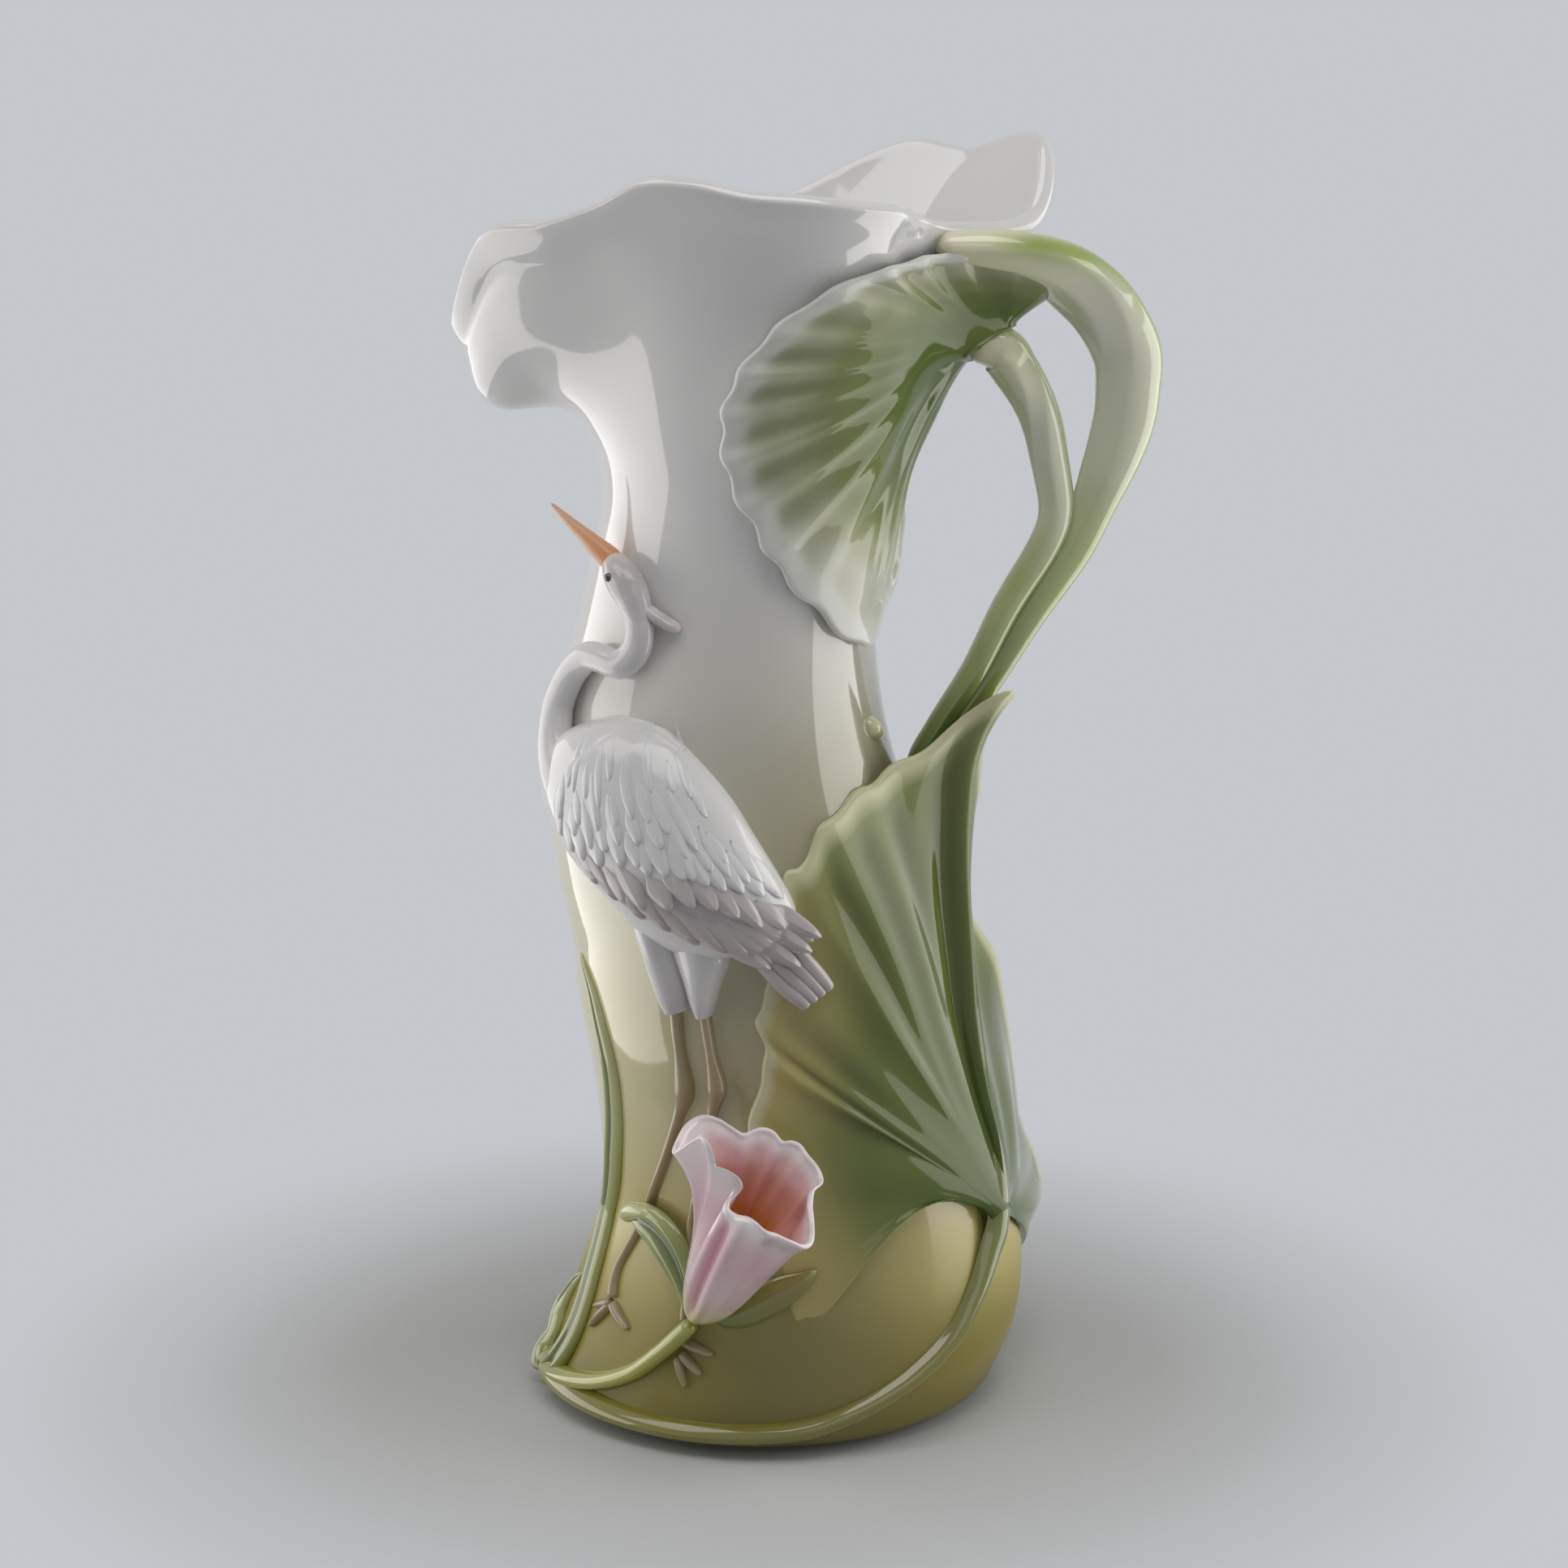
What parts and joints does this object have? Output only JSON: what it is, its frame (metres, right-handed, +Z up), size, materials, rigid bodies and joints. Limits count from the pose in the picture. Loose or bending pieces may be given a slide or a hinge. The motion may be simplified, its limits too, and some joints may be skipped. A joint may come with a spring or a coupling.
{
  "type": "ewer",
  "caption": "Glazed porcelain ewer with a winding body, petal mouth, pouring lip, stem handle, pleated leaves, and an applied egret, flower and grass.",
  "frame": {"origin": "centre of the foot ring's underside, on the table", "axes": "+Z up through the mouth, +X towards the handle, -X towards the pouring lip, -Y towards the side with the egret"},
  "size_m": [0.172, 0.1502, 0.3132],
  "materials": {
    "wall_glaze": "high gloss glaze, white above, airbrushed cream and olive below",
    "bare_biscuit": "unglazed, matt",
    "stem_glaze": "high gloss glaze, pale green",
    "leaf_glaze": "high gloss glaze, green with pale margins",
    "grass_glaze": "high gloss glaze, olive green",
    "flower_glaze": "high gloss glaze, pink with an orange throat",
    "egret_glaze": "soft gloss glaze, white",
    "feather_glaze": "soft gloss glaze, lilac grey",
    "beak_glaze": "soft gloss glaze, orange",
    "eye_glaze": "gloss, black",
    "leg_glaze": "soft gloss glaze, tan"
  },
  "bodies": {
    "root": {"vessel_body": "wall_glaze", "foot_ring": "bare_biscuit", "outer_stem": "stem_glaze", "inner_stem": "stem_glaze", "stem_nub": "stem_glaze", "upper_leaf": "leaf_glaze", "lower_leaf": "leaf_glaze", "base_runner": "grass_glaze", "tall_blade": "grass_glaze", "short_blade": "grass_glaze", "flower_stem": "grass_glaze", "folded_leaf": "grass_glaze", "sepal_leaf": "grass_glaze", "flower": "flower_glaze", "egret_body": "egret_glaze", "wing_coverts": "egret_glaze", "wing_feathers": "feather_glaze", "tail_feathers": "feather_glaze", "egret_neck": "egret_glaze", "egret_head": "egret_glaze", "egret_beak": "beak_glaze", "egret_eye": "eye_glaze", "egret_crest": "feather_glaze", "egret_thighs": "egret_glaze", "far_leg": "leg_glaze", "near_leg": "leg_glaze", "far_foot": "leg_glaze", "near_foot": "leg_glaze"}
  },
  "joints": []
}
